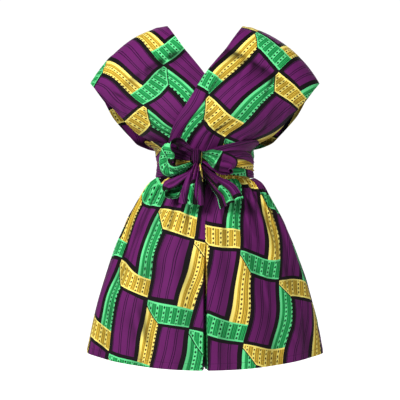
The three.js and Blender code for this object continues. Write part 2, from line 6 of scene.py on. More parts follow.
import bpy
import numpy as np
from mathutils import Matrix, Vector


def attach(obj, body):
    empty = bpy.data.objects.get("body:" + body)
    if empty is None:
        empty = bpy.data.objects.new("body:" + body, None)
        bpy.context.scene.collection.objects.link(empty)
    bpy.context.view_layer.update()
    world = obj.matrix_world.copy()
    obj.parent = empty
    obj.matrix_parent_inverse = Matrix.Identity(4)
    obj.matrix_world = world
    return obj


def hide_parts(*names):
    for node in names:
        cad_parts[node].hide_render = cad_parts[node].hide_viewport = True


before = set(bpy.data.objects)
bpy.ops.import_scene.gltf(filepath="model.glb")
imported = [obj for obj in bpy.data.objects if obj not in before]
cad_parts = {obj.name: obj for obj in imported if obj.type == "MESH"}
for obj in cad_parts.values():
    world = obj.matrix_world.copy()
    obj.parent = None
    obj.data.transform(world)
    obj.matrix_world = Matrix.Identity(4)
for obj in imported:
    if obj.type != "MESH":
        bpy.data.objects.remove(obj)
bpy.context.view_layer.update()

scene = bpy.context.scene
metres = 0.001


def linked(name, data):
    made = bpy.data.objects.new(name, data)
    scene.collection.objects.link(made)
    return made


camera = {"place": (-0.0125, -3.5, -0.4135), "lens": 126, "sensor": 36}
cameraObject = linked("camera", bpy.data.cameras.new("camera"))
cameraObject.data.lens = camera["lens"]
cameraObject.data.sensor_width = camera["sensor"]
cameraObject.location = camera["place"]
cameraObject.rotation_euler = (math.pi / 2, 0, 0)
scene.camera = cameraObject
print("camera placed")


# ---- Curves and heights ----
def curve(places, values, at):
    # a cubic between rows whose slopes are the harmonic means of their neighbours', so it never overshoots a row
    places, values, at = (np.asarray(x, float) for x in (places, values, at))
    if places[-1] < places[0]:
        places, values = places[::-1], values[::-1]
    wide = (slice(None),) + (None,) * (values.ndim - 1)
    slope = np.diff(values, axis=0) / np.diff(places)[wide]
    before, after = slope[:-1], slope[1:]
    together = before * after
    safe = np.where(together > 0, before + after, 1)
    inner = np.where(together > 0, 2 * together / safe, 0)
    tangent = np.concatenate([slope[:1], inner, slope[-1:]])
    i = np.clip(np.searchsorted(places, at) - 1, 0, len(places) - 2)
    span = places[i + 1] - places[i]
    u = np.clip((at - places[i]) / span, 0, 1)
    extra = (Ellipsis,) + (None,) * (values.ndim - 1)
    span, u = span[extra], u[extra]
    keep = (1 + 2 * u) * (1 - u) ** 2
    bend = u * (1 - u) ** 2 * tangent[i] - u * u * (1 - u) * tangent[i + 1]
    return keep * values[i] + (1 - keep) * values[i + 1] + span * bend


def across(four, w):
    # the cubic through four values that stand at 0, 1/3, 2/3 and 1
    p, q, r, s = four
    v = 3 * w
    return (
        -p * (v - 1) * (v - 2) * (v - 3) / 6
        + q * v * (v - 2) * (v - 3) / 2
        - r * v * (v - 1) * (v - 3) / 2
        + s * v * (v - 1) * (v - 2) / 6
    )


def fade(u):
    # 0 to 1 by 3u^2 - 2u^3
    u = np.clip(u, 0, 1)
    return u * u * (3 - 2 * u)


def bump(u):
    # a raised cosine: 1 in the middle, 0 from -1 and 1 outwards
    return np.where(np.abs(u) < 1, 0.5 + 0.5 * np.cos(np.pi * u), 0)


def lengthAlong(points):
    # how far along a line each of its points lies, as a column
    steps = np.linalg.norm(np.diff(points, axis=0), axis=1)
    return np.concatenate([[0], np.cumsum(steps)])[:, None]


def creases(u, v, rows):
    # ridges, or troughs where the height is negative: each runs from one place on the cloth to another, and fades over
    # the last third towards each end
    height = np.zeros(np.broadcast(u, v).shape)
    for fromU, fromV, toU, toV, rise, half in rows:
        du, dv = toU - fromU, toV - fromV
        long = math.hypot(du, dv)
        along = ((u - fromU) * du + (v - fromV) * dv) / long
        aside = ((v - fromV) * du - (u - fromU) * dv) / long
        fading = 0.35 * long
        ends = fade(along / fading) * fade((long - along) / fading)
        height += rise * ends * bump(aside / half)
    return height


def scattered(seed, low, high, kind):
    # small creases strewn over a stretch of cloth, uneven in place, turn, length, height and width. Their kind: how
    # many, at what angle, how far that varies, how long, how high and half how wide
    count, angle, spread, length, rise, half = kind
    rng = np.random.default_rng(seed)
    rows = []
    for _ in range(count):
        u, v = rng.uniform(low[0], high[0]), rng.uniform(low[1], high[1])
        turn = math.radians(angle + rng.uniform(-spread, spread))
        long = length * rng.uniform(0.5, 1.5)
        du, dv = math.cos(turn) * long / 2, math.sin(turn) * long / 2
        size = rise * rng.uniform(-0.8, 1.2), half * rng.uniform(0.7, 1.5)
        rows.append((u - du, v - dv, u + du, v + dv, *size))
    return rows


def rumple(u, v, seed, size, height):
    # the sum of a few waves of random direction, length and phase
    rng = np.random.default_rng(seed)
    total = np.zeros(np.broadcast(u, v).shape)
    for _ in range(7):
        angle, phase = rng.uniform(0, 2 * np.pi, 2)
        rate = 2 * np.pi / (size * rng.uniform(0.6, 1.7))
        total += np.sin((u * np.cos(angle) + v * np.sin(angle)) * rate + phase)
    return height * total / 2.6


# ---- Cloth walls ----
# a wall's thickness, the angle of a sharp edge, and how many rows or columns off the cloth is looked at for its
# hollows and ridges, which set its painted shade and painted light
wallLook = {"thick": 0.9, "sharp": 65, "reaches": (2, 5, 9)}


def shifted(values, step, axis, ring=False):
    # at each place of a grid what is some steps further along an axis, and NaN where there is nothing
    moved = np.roll(values, -step, axis)
    if not (ring and axis == 1):
        outside = [slice(None)] * 2
        outside[axis] = slice(-step, None) if step > 0 else slice(0, -step)
        moved[tuple(outside)] = np.nan
    return moved


def neighbour(grid, step, axis, ring=False):
    # the next point along an axis, or the point itself where there is none
    moved = shifted(grid, step, axis, ring)
    return np.where(np.isnan(moved), grid, moved)


def unit(vectors):
    return vectors / np.maximum(np.linalg.norm(vectors, axis=-1, keepdims=True), 1e-9)


def gridNormals(grid, sewn=False, ring=False):
    # the cross product of the differences along a row and down a column
    alongRow = neighbour(grid, 1, 1, ring) - neighbour(grid, -1, 1, ring)
    normal = np.cross(alongRow, neighbour(grid, 1, 0) - neighbour(grid, -1, 0))
    if sewn:
        # without the part across each seam of the shorts: z at the waist, y at the sides, x in the middle
        normal[0, :, 2] = 0
        normal[:, (0, -1), 1] = 0
        rows, columns = np.nonzero(~np.isnan(grid[:, :-1, 0]) & np.isnan(grid[:, 1:, 0]))
        normal[rows, columns, 0] = 0
    return unit(normal)


def paintedShadeDepths(grid, normal, ring):
    # how far the cloth around each point stands out from it, averaged over some distances in four directions: deep in
    # a hollow for painted shade, below zero on a ridge for painted light
    depth = 0
    for reach in wallLook["reaches"]:
        for axis in (0, 1):
            for step in (reach, -reach):
                away = shifted(grid, step, axis, ring) - grid
                depth = depth + np.nan_to_num((away * normal).sum(-1))
    return np.stack([depth / (4 * len(wallLook["reaches"])), 0 * depth], -1)


def onPrint(u, v, fromU, fromV, turn=0):
    # where the cloth lies on the print, moved and turned by so many degrees
    turned = (u + 1j * v) * np.exp(1j * np.radians(turn))
    return np.stack([turned.real + fromU * 1000, turned.imag + fromV * 1000], -1)


def makeMesh(node, points, faces, maps):
    # the cloth that takes the place of a node
    mesh = bpy.data.meshes.new(node + "_cloth")
    mesh.from_pydata(points * metres, [], faces)
    corners = np.zeros(len(mesh.loops), int)
    mesh.loops.foreach_get("vertex_index", corners)
    for mapName, values in maps.items():
        layer = mesh.uv_layers.new(name=mapName)
        layer.data.foreach_set("uv", (values * metres)[corners].astype(np.float32).ravel())
    mesh.shade_smooth()
    mesh.set_sharp_from_angle(angle=math.radians(wallLook["sharp"]))
    mesh.materials.append(printedCotton)
    made = linked(node + "_cloth", mesh)
    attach(made, "root")
    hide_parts(node)
    return made


def makeCloth(node, grid, cloth, edge, paintedShadeExtra=0, wall=wallLook["thick"], sewn=False, flip=False, ring=False):
    # A closed wall: the grid moved half the thickness to each side, and a rim along its open edges. A point's cloth is
    # where it lies on the flat cloth, its edge how far it is from a row of stitches and along it, and the extra is how
    # much more painted shade it gets than its own hollows give, in millimetres of hollow.
    normal = gridNormals(grid, sewn, ring) * (-1 if flip else 1)
    present = ~np.isnan(grid[..., 0])
    number = np.where(present, np.cumsum(present).reshape(present.shape) - 1, -1)
    count = int(present.sum())
    half = np.broadcast_to(np.asarray(wall, float), present.shape)[..., None] / 2
    points = np.concatenate([(grid + normal * half)[present], (grid - normal * half)[present]])
    right = np.roll(number, -1, 1) if ring else number[:, 1:]
    left = number if ring else number[:, :-1]
    a, b, c, d = left[:-1], right[:-1], right[1:], left[1:]
    cell = (a >= 0) & (b >= 0) & (c >= 0) & (d >= 0)

    def rim(p, q, step, axis):
        # along the side from p to q of the cells that have no other there
        bare = cell & ~(shifted(cell * 1.0, step, axis, ring) == 1)
        return np.stack([q[bare], p[bare], p[bare] + count, q[bare] + count], -1)

    outside = np.stack([a[cell], b[cell], c[cell], d[cell]], -1)
    inside = np.stack([a[cell], d[cell], c[cell], b[cell]], -1) + count
    rims = [rim(a, b, -1, 0), rim(b, c, 1, 1), rim(c, d, 1, 0), rim(d, a, -1, 1)]
    faces = np.concatenate([outside, inside, *rims])
    if flip:
        faces = faces[:, ::-1]
    # painted shade in the cloth's hollows and painted light on its ridges, with the other sign on the inner side
    paintedShade = paintedShadeDepths(grid, normal, ring)
    paintedShade[..., 0] += paintedShadeExtra
    paintedShade = paintedShade[present]
    maps = {"cloth": np.tile(cloth[present], (2, 1)), "edge": np.tile(edge[present], (2, 1))}
    maps["paintedShade"] = np.concatenate([paintedShade, -paintedShade])
    return makeMesh(node, points, faces, maps)


# ---- Printed cotton ----
def shade(red, green, blue):
    # a screen colour, 0 to 255, as the shader's linear one
    parts = [c / 255 for c in (red, green, blue)]
    return [c / 12.92 if c <= 0.04045 else ((c + 0.055) / 1.055) ** 2.4 for c in parts] + [1]


class Value:
    # a socket of a material's nodes; an expression on values adds its Math nodes
    def __init__(self, nodes, socket):
        self.nodes = nodes
        self.socket = socket

    def math(self, operation, *others):
        return self.nodes.add("ShaderNodeMath", {"operation": operation}, dict(enumerate((self, *others))))

    __add__ = partialmethod(math, "ADD")
    __sub__ = partialmethod(math, "SUBTRACT")
    __mul__ = partialmethod(math, "MULTIPLY")
    __truediv__ = partialmethod(math, "DIVIDE")
    __lt__ = partialmethod(math, "LESS_THAN")
    __gt__ = partialmethod(math, "GREATER_THAN")
    floor = partialmethod(math, "FLOOR")
    fract = partialmethod(math, "FRACT")

    def __rsub__(self, other):
        return (self * -1) + other

    def near(self, middle, half):
        # 1 within half of the middle
        return (self - middle).math("ABSOLUTE") < half

    def either(self, *others):
        for other in others:
            self = self.math("MAXIMUM", other)
        return self


class Nodes:
    def __init__(self, name):
        self.material = bpy.data.materials.new(name)
        self.material.use_nodes = True
        self.tree = self.material.node_tree
        self.tree.nodes.clear()

    def add(self, kind, settings, inputs):
        node = self.tree.nodes.new(kind)
        for name, value in settings.items():
            setattr(node, name, value)
        for name, value in inputs.items():
            if isinstance(value, Value):
                self.tree.links.new(value.socket, node.inputs[name])
            else:
                node.inputs[name].default_value = value
        outputs = [socket for socket in node.outputs if socket.enabled]
        return Value(self, outputs[0]) if outputs else None

    def mapped(self, name):
        # a map's vector and its two values
        vector = self.add("ShaderNodeUVMap", {"uv_map": name}, {})
        parts = self.add("ShaderNodeSeparateXYZ", {}, {0: vector}).socket.node.outputs
        return vector, Value(self, parts["X"]), Value(self, parts["Y"])

    def finish(self, inputs):
        surface = self.add("ShaderNodeBsdfPrincipled", {}, inputs)
        self.add("ShaderNodeOutputMaterial", {}, {"Surface": surface})
        return self.material

    def blend(self, share, first, second, kind="MIX"):
        # inputs 0, 6 and 7 of a Mix node are its factor and its two colours
        settings = {"data_type": "RGBA", "blend_type": kind}
        return self.add("ShaderNodeMix", settings, {0: share, 6: first, 7: second})


cottonPrint = {
    "column": 0.11,  # width of a column
    "repeat": 0.22,  # from one bar to the next along a column
    "bar": (0.75, 0.785),  # share of the column and of the repeat that a bar takes; ribbons have the rest
    "lean": 0.3,  # how far a bar leans, in columns
    "slant": 0.1,  # how much the ends of a bar slope, in repeats
    "step": 0.3333,  # from column to column, in repeats
    "frame": (0.105, 0.04),  # the black along the sides of a bar and at its ends
    "line": 0.0028,  # width of the black lines
    "pins": 5.2,  # pairs of pinstripes to a column
    "pinPlaces": ((0.4, 0.045), (0.62, 0.045)),  # the middle and half width of each, in shares of a pair
    "ribs": 6,  # to a column
    "ribLight": (0.5, 0.17),
    "ribLines": ((0.18, 0.035), (0.82, 0.035), (0.02, 0.02)),
    "lozenge": (2.6, 0.36),  # how narrow and how large
    "lozengeStep": 0.0105,
    "border": (0.009, 0.984, 1.2, 0.02),  # the light edge of a ribbon: past a bar's end, before the next, beside it
    "purple": shade(100, 27, 95),
    "pin": shade(46, 8, 48),
    "black": shade(15, 9, 13),
    # base, light and dark
    "green": (shade(40, 166, 88), shade(104, 224, 146), shade(4, 58, 28)),
    "yellow": (shade(222, 184, 62), shade(255, 236, 124), shade(84, 58, 8)),
    "cloudy": {"Scale": 16.0, "Detail": 3.0},
    "tone": (0.24, 0.88),  # how much the clouds change the tone, and its least
    "paintedShadeStrength": 530,  # painted shade: how much darker the cloth is painted to a metre of hollow, and lighter to a metre of ridge
    # the most painted light on a ridge and the most painted shade in a hollow, as shares of the colour
    "paintedShadeMost": (-0.32, 0.86),
    "stitch": {"half": 0.0006, "step": 0.0032, "share": 0.68, "strength": 0.6},
    "thread": 0.0011,
    "weave": 0.02,
    "crumple": {"Scale": 55.0, "Detail": 3.0},
    "seam": (0.0016, 0.3),  # half width and depth of the dent along a row of stitches
    "relief": {"Strength": 0.45, "Distance": 0.0018},
    "finish": {"Roughness": 0.7, "Specular IOR Level": 0.12, "Sheen Weight": 0.02, "Sheen Roughness": 0.4},
}


def makePrintedCotton():
    # Columns of framed purple bars that all lean one way. A column's left edge goes with its bars, and each column
    # starts a third of a repeat further up. What the bars leave is a green or yellow ribbon, which crosses the column
    # between two bars and runs on beside them.
    look = cottonPrint
    nodes = Nodes("printed_cotton")
    onCloth, s, t = nodes.mapped("cloth")
    x = s / look["column"]
    barWide, barLong = look["bar"]

    def column(k):
        # how far up its repeats the place is, and the column's left edge there
        r = t / look["repeat"] + (k * look["step"]).fract()
        c = r.fract()
        return r, (c / barLong).math("MINIMUM", (1 - c) / (1 - barLong)) * look["lean"]

    k = x.floor()
    k = k - (x - k < column(k)[1])
    r, edge = column(k)
    a = x - k
    r = r + (a - 0.5) * look["slant"]
    n = r.floor()
    c = r - n
    isYellow = ((n + k) * 0.5).fract() * 2
    inBar = a - c / barLong * look["lean"]
    a = a - edge
    thin = look["line"] / look["column"]
    frameWide, frameLong = look["frame"]
    isBar = (c < barLong) * (inBar > 0) * (inBar < barWide)
    sides = (inBar < frameWide).either(inBar > barWide - frameWide)
    isFrame = sides.either(c < frameLong, c > barLong - frameLong)
    pin = (inBar * look["pins"]).fract()
    firstPin, secondPin = (pin.near(*place) for place in look["pinPlaces"])
    base, light, dark = (nodes.blend(isYellow, *pair) for pair in zip(look["green"], look["yellow"]))
    rib = (inBar * look["ribs"]).fract()
    narrow, large = look["lozenge"]
    fromMiddle = (rib - 0.5).math("ABSOLUTE") * narrow
    isLozenge = fromMiddle + ((t / look["lozengeStep"]).fract() - 0.5).math("ABSOLUTE") < large
    ribLines = isLozenge.either(*(rib.near(*place) for place in look["ribLines"]))
    past, before, beside, further = look["border"]
    nextToBar = inBar.near(barWide + beside * thin, beside * thin) * (c < barLong + further)
    plain = c.near(barLong + past, past).either(c > before, a < 2 * thin, nextToBar)
    ribbon = nodes.blend(rib.near(*look["ribLight"]).either(plain), base, light)
    ribbon = nodes.blend(ribLines * (1 - plain), ribbon, dark)
    ribbon = nodes.blend(a < thin, ribbon, look["black"])
    purple = nodes.blend(firstPin.either(secondPin), look["purple"], look["pin"])
    bar = nodes.blend(isFrame, purple, look["black"])
    colour = nodes.blend(isBar, ribbon, bar)

    cloudy = nodes.add("ShaderNodeTexNoise", {}, {"Vector": onCloth, **look["cloudy"]})
    # painted shade and painted light: the map of hollows darkens the cloth in its hollows and creases and lightens it
    # on its ridges, on top of the clouds' random tone
    paintedShade = nodes.mapped("paintedShade")[1]
    paintedLightMost, paintedShadeMost = look["paintedShadeMost"]
    paintedShadeAmount = (paintedShade * look["paintedShadeStrength"]).math("MAXIMUM", paintedLightMost).math("MINIMUM", paintedShadeMost)
    change, least = look["tone"]
    tone = (cloudy * change + least) * (1 - paintedShadeAmount)
    cloudsAndPaintedShade = nodes.add("ShaderNodeCombineColor", {}, {0: tone, 1: tone, 2: tone})
    colour = nodes.blend(1.0, colour, cloudsAndPaintedShade, "MULTIPLY")

    _, inward, along = nodes.mapped("edge")
    stitch = look["stitch"]
    isStitch = inward.near(0, stitch["half"]) * ((along / stitch["step"]).fract() < stitch["share"])
    colour = nodes.blend(isStitch * stitch["strength"], colour, look["pin"])

    thread = 2 * math.pi / look["thread"]
    weave = (s * thread).math("SINE") * (t * thread).math("SINE")
    crumple = nodes.add("ShaderNodeTexNoise", {}, {"Vector": onCloth, **look["crumple"]})
    seamHalf, seamDeep = look["seam"]
    height = weave * look["weave"] + crumple - inward.near(0, seamHalf) * seamDeep
    normal = nodes.add("ShaderNodeBump", {}, {"Height": height, **look["relief"]})
    return nodes.finish({"Base Color": colour, "Normal": normal, **look["finish"]})


printedCotton = makePrintedCotton()
print("printed cotton made")

# ---- The form that the cloth lies on ----
form = {
    "z": [60, -43, -80, -106, -150, -192, -224, -249, -264, -277, -288, -300, -320, -370],
    "front": [50, 72, 90, 101, 114, 121, 117, 108, 103, 98, 94, 90, 87, 89],
    "back": [50, 72, 90, 98, 104, 102, 98, 93, 91, 88, 86, 84, 82, 86],
    "frontHalf": [330, 327, 324, 321, 308, 264, 230, 192, 160, 129, 116, 112, 110, 112],
    "backHalf": [330, 328, 325, 325, 318, 296, 268, 246, 228, 178, 128, 114, 110, 112],
}
bust = {"rise": 10, "x": 78, "z": -188, "spreadX": 55, "spreadZ": 58}


def frontDepth(x, z):
    # the front half of an ellipse, and a bell-shaped rise at the bust on each side
    away = ((np.abs(x) - bust["x"]) / bust["spreadX"]) ** 2 + ((z - bust["z"]) / bust["spreadZ"]) ** 2
    reach = np.minimum(np.abs(x) / curve(form["z"], form["frontHalf"], z), 1)
    return (curve(form["z"], form["front"], z) + bust["rise"] * np.exp(-away)) * np.sqrt(1 - reach**2)


def formPoint(turn, z):
    # on the form at a turn in degrees from the front and a height: an ellipse in front and another behind
    s, c = np.sin(np.radians(turn)), np.cos(np.radians(turn))
    frontX = curve(form["z"], form["frontHalf"], z) * s
    backX = curve(form["z"], form["backHalf"], z) * s
    x = np.where(c < 0, backX, frontX)
    y = np.where(c < 0, -curve(form["z"], form["back"], z) * c, -frontDepth(frontX, z))
    return np.stack([x, y, z + 0 * x], -1)


def formNormal(turn, z):
    alongTurn = formPoint(turn + 1, z) - formPoint(turn - 1, z)
    return unit(np.cross(alongTurn, formPoint(turn, z + 2) - formPoint(turn, z - 2)))


def chestNormal(x, z):
    slopeX = (frontDepth(x + 1, z) - frontDepth(x - 1, z)) / 2
    slopeZ = (frontDepth(x, z + 1) - frontDepth(x, z - 1)) / 2
    return unit(np.stack([-slopeX, -np.ones_like(slopeX), -slopeZ], -1))


# ---- Straps ----
# At each station four lines cross the strap, from its neck edge to its sleeve edge: x and z on the chest and at the
# shoulder line, and a turn and z behind and round the waist.
strap = {
    "chestAt": [0, 0.2, 0.4, 0.6, 0.8],
    "chest": [
        [[-100, -330], [-31, -334], [57, -332], [107, -326]],
        [[-79, -238], [-12, -251], [58, -267], [118, -278]],
        [[-37, -168], [31, -198], [100, -224], [166, -249]],
        [[2, -106], [70, -142], [141, -175], [211, -204]],
        [[51, -43], [122, -80], [188, -120], [249, -163]],
    ],
    "ridge": [[94, 19], [170, -8], [235, -59], [284, -124]],
    "wrapAt": [1.2, 1.4, 1.6, 1.8, 2.0, 2.2, 2.4, 2.6, 2.8, 3.0],
    "wrap": [
        [[168, -28], [157, -66], [143, -112], [126, -165]],
        [[174, -84], [163, -128], [150, -175], [127, -217]],
        [[180, -140], [171, -184], [156, -226], [130, -262]],
        [[190, -196], [180, -236], [164, -268], [121, -288]],
        [[202, -243], [197, -272], [186, -305], [158, -332]],
        [[210, -268], [222, -298], [220, -326], [208, -355]],
        [[268, -297], [268, -317], [266, -338], [264, -359]],
        [[308, -259], [308, -292], [308, -325], [308, -355]],
        [[334, -276], [334, -300], [334, -323], [334, -345]],
        [[350, -299], [350, -310], [350, -320], [350, -331]],
    ],
    "sashAt": 2.4,
    "sashTurn": 268,
    "gap": 0.0004,
    "cut": 250,  # width of the cloth
    "hem": 5,  # from the edge to its stitches
    "sashWide": 70,  # how much of the cloth shows in the sash, in four pleats from these places
    "pleats": [0, 0.25, 0.51, 0.76],
    "pleatWide": 0.255,
    "pleatHeight": (0.8, 4.2),  # everywhere, and more where the pleats show
    "pleatDrop": (0.86, 0.14),  # where over a pleat it drops to the next, and over how much
    "wander": (0.015, 23),  # how far the pleats stray up and down, and how fast
    "rows": (110, 150, 100),
    "columns": 96,
    # stations from which something comes in, and over how many
    "chestEnds": (1.0, 0.2),
    "sashStarts": (2.2, 0.25),
    "pleatsShow": (2.48, 0.15),
    "pleatsClose": (2.8, 0.2),
    "clothFolds": (2.1, 0.3),
    # where the painted shade under the bow comes in
    "shadeUnderBow": (2.72, 0.25),
    "tuckEnds": (0.3, 0.4),
    "tuckWide": 0.14,
    "paintedShadeExtra": (1.1, 1.2, 0.22, 0.2),  # painted shade: how much under the bow; how much under a pleat, over how much of the next, and from where on
    "small": (60, 80, 40, 80, 1.1, 8),
    "smallOver": ((-120, 20), (120, 900)),
    "pulls": (30, 90, 7, 120, 1.3, 7),
    "pullsFrom": (-120, -40),  # the second counts from the sash's start
    "rumple": (130, 0.8),
    "strays": ((170, 3.5), (150, 3.5)),  # how the print strays across and along the cloth
}
strapSides = {
    "left": {
        "reach": 0.93,
        "outAt": [0, 0.2, 0.6, 0.85, 1.3, 1.6, 2.25, 2.4, 2.6, 2.8, 3],
        "out": [6.6, 7.4, 6.4, 1.5, 3, 2.4, 3.8, 9.5, 13, 18, 27],
        # across, height, half width, from station, to station
        "folds": [
            (0.08, 2.6, 0.1, -0.1, 0.74), (0.145, -2.6, 0.022, -0.1, 0.72), (0.4, 2.8, 0.12, -0.1, 0.5),
            (0.72, 3.2, 0.12, -0.1, 0.62), (0.3, 1.2, 0.14, 1.2, 1.75), (0.7, 1.5, 0.14, 1.1, 1.7),
        ],
        "creases": [
            (-60, 0, -20, 150, 3.0, 11), (-30, 20, 20, 170, -2.0, 8), (10, 0, 30, 120, 2.4, 9),
            (60, 5, 75, 170, 3.0, 11), (92, 20, 86, 190, -2.2, 8), (100, 40, 60, 230, 2.4, 11),
            (-20, 180, -60, 320, 2.0, 12), (40, 200, 10, 330, -1.8, 9), (118, 150, 92, 300, 2.2, 9),
            (-40, 330, 60, 430, 1.8, 13), (0, 380, 90, 450, -1.6, 10),
        ],
        "cloth": (0.31, 0.14),
        "pleatCloth": (276, 390, 479, 508),  # where each pleat of the sash starts on the cloth
        "tuck": -38,  # how much cloth is hidden under the fold beside the neck edge
        "seed": 11,
    },
    "right": {
        "reach": 1.2,
        "outAt": [0, 0.6, 0.85, 1.3, 1.5, 2.25, 2.4, 2.6, 2.8, 3],
        "out": [2.6, 2.2, 1.5, 4.5, 6.4, 8.4, 9.5, 13, 18, 27],
        "folds": [
            (0.62, 1.4, 0.12, 0.1, 0.6), (0.85, 1.6, 0.12, -0.1, 0.7), (0.2, 3, 0.12, 1.2, 2.3),
            (0.5, 4, 0.14, 1.3, 2.5), (0.8, 4, 0.14, 1.15, 2.4),
        ],
        "creases": [
            (20, 60, 70, 260, 2.2, 11), (50, 40, 84, 220, -2.0, 8), (95, 60, 60, 250, 2.6, 11),
            (118, 150, 96, 330, 2.2, 9), (80, 230, 110, 360, -2.0, 8), (-60, 240, -95, 400, 1.9, 13),
            (10, 260, -30, 380, 1.6, 13), (-20, 340, 70, 440, 1.8, 13), (40, 360, 96, 430, -2.0, 8),
        ],
        "cloth": (0.83, 0.54),
        "pleatCloth": (392, 482, 547, 601),
        "tuck": 0,
        "seed": 23,
    },
}


def strapPlace(at, w, reach):
    # the point on the form and the way out there. On the chest it stands in front of (x, z), behind at a turn and a
    # height, and over the shoulder it bends by a quarter of an ellipse on each side of the shoulder line
    first, second = strap["chestAt"][-1], strap["wrapAt"][0]

    def between(kind, stations):
        lines = curve(strap[kind + "At"], strap[kind], stations)
        return (across([lines[:, k, None, i] for k in range(4)], w) for i in (0, 1))

    def onChest(stations):
        x, z = between("chest", stations)
        return np.stack([x, -frontDepth(x, z), z], -1), chestNormal(x, z)

    def behind(stations):
        turn, z = between("wrap", stations)
        turn = turn + np.maximum(turn - strap["sashTurn"], 0) * (reach - 1)
        return formPoint(turn, z), formNormal(turn, z)

    def over(stations, foot, quarter):
        point, normal = foot
        ridgeX, ridgeZ = (across([line[i] for line in strap["ridge"]], w) for i in (0, 1))
        top = np.stack([ridgeX, 0 * ridgeX, ridgeZ], -1)[None]
        quarter = quarter[:, None, None]
        away = 1 - np.cos(quarter)
        bent = top + (point - top) * np.concatenate([away, np.sin(quarter), away], -1)
        up = unit((top - point) * [1, 0, 1])
        return bent, unit(normal * np.sin(quarter) + up * np.cos(quarter))

    one = np.array([1.0])
    chest, rise = at[at <= first], at[(at > first) & (at < 1)]
    drop, wrap = at[(at >= 1) & (at < second)], at[at >= second]
    parts = [
        onChest(chest),
        over(rise, onChest(one * first), np.pi / 2 * (1 - rise) / (1 - first)),
        over(drop, behind(one * second), np.pi / 2 * (drop - 1) / (second - 1)),
        behind(wrap),
    ]
    return [np.concatenate(together) for together in zip(*parts)]


def foldHeight(folds, at, w):
    # each fold is a raised cosine across the strap that fades near its first and last stations
    height = 0
    for middle, rise, half, start, end in folds:
        shown = 1 - fade((np.abs(at - (start + end) / 2) / ((end - start) / 2) - 0.55) / 0.45)
        height = height + rise * shown[:, None] * bump((w - middle) / half)
    return height


def pleated(w, places, starts, wide):
    # where on its width the cloth shows, in pleats that begin at these places and each have their own start on it
    pleat = (w[..., None] >= places).sum(-1) - 1
    return (w - np.array(places)[pleat]) * wide + np.array(starts)[pleat]


def makeStrap(side):
    look = strapSides[side]
    seed = look["seed"]
    gap, sashAt, rows = strap["gap"], strap["sashAt"], strap["rows"]
    stretches = zip((0, 1, sashAt), (1 - gap, sashAt - 3 * gap, 3), rows)
    at = np.concatenate([np.linspace(*stretch) for stretch in stretches])
    w = np.linspace(0, 1, strap["columns"] + 1)

    def after(name):
        start, over = strap[name]
        return fade((at[:, None] - start) / over)

    point, normal = strapPlace(at, w, look["reach"])
    v = lengthAlong(point[:, len(w) // 2]) + 0 * w
    u = (w - 0.5) * strap["cut"] + 0 * at[:, None]
    out = curve(look["outAt"], look["out"], at)[:, None] + foldHeight(look["folds"], at, w)
    out = out + creases(u, v, look["creases"]) * (1 - after("chestEnds"))
    small = scattered(seed, *strap["smallOver"], strap["small"])
    out = out + creases(u, v, small) + rumple(u, v, seed, *strap["rumple"])

    # the sash's pleats lie one over another: each rises towards its lower edge and drops there
    inSash = after("sashStarts")
    stray, rate = strap["wander"]
    wandering = np.clip(w + stray * np.sin(v / rate + seed) * inSash, 0, 0.9999)
    rise = pleated(wandering, strap["pleats"], [0] * 4, 1 / strap["pleatWide"])
    shown = after("pleatsShow") * (1 - 0.4 * after("pleatsClose"))
    least, more = strap["pleatHeight"]
    dropAt, dropOver = strap["pleatDrop"]
    out = out + inSash * (least + more * shown) * rise * (1 - fade((rise - dropAt) / dropOver))
    pullsU, pullsV = strap["pullsFrom"]
    pulls = scattered(seed + 1, (pullsU, v[-rows[2], 0] + pullsV), (-pullsU, v[-1, 0]), strap["pulls"])
    out = out + inSash * creases(u, v, pulls)
    grid = point + normal * out[..., None]

    fromU, fromV = look["cloth"]
    asSash = pleated(wandering, strap["pleats"], look["pleatCloth"], strap["sashWide"])
    tucked = look["tuck"] * (w < strap["tuckWide"]) * (1 - after("tuckEnds"))
    strayU, strayV = strap["strays"]
    asStrap = u + tucked + fromU * 1000 + rumple(u, v, seed + 2, *strayU)
    offGrain = rumple(u, v, seed + 3, *strayV)
    cloth = np.stack([asStrap + (asSash - asStrap) * after("clothFolds"), v + offGrain + fromV * 1000], -1)
    edge = np.stack([np.minimum(w, 1 - w) * strap["cut"] + 0 * v - strap["hem"], v], -1)
    # painted shade under the bow, and under each pleat's lower edge where the next pleat lies over it
    shadeAtBow, shadeUnderPleat, underOver, underFrom = strap["paintedShadeExtra"]
    paintedShadeExtra = shadeAtBow * after("shadeUnderBow") + shadeUnderPleat * shown * (1 - fade(rise / underOver)) * (w > underFrom)

    names = ["strap_%s_chest", "strap_%s_behind", "sash_%s"]
    values = [grid, cloth, edge, paintedShadeExtra]
    if side == "right":
        # the mirror image, with its rows the other way so that it still faces outward
        names, rows = names[::-1], rows[::-1]
        values = [value[::-1] for value in (grid * [-1, 1, 1], cloth, edge, paintedShadeExtra)]
    pieces = zip(*(np.split(value, np.cumsum(rows[:2])) for value in values))
    return {name % side: makeCloth(name % side, *piece) for name, piece in zip(names, pieces)}


for side in ("left", "right"):
    made = makeStrap(side)
print("straps and sash made")

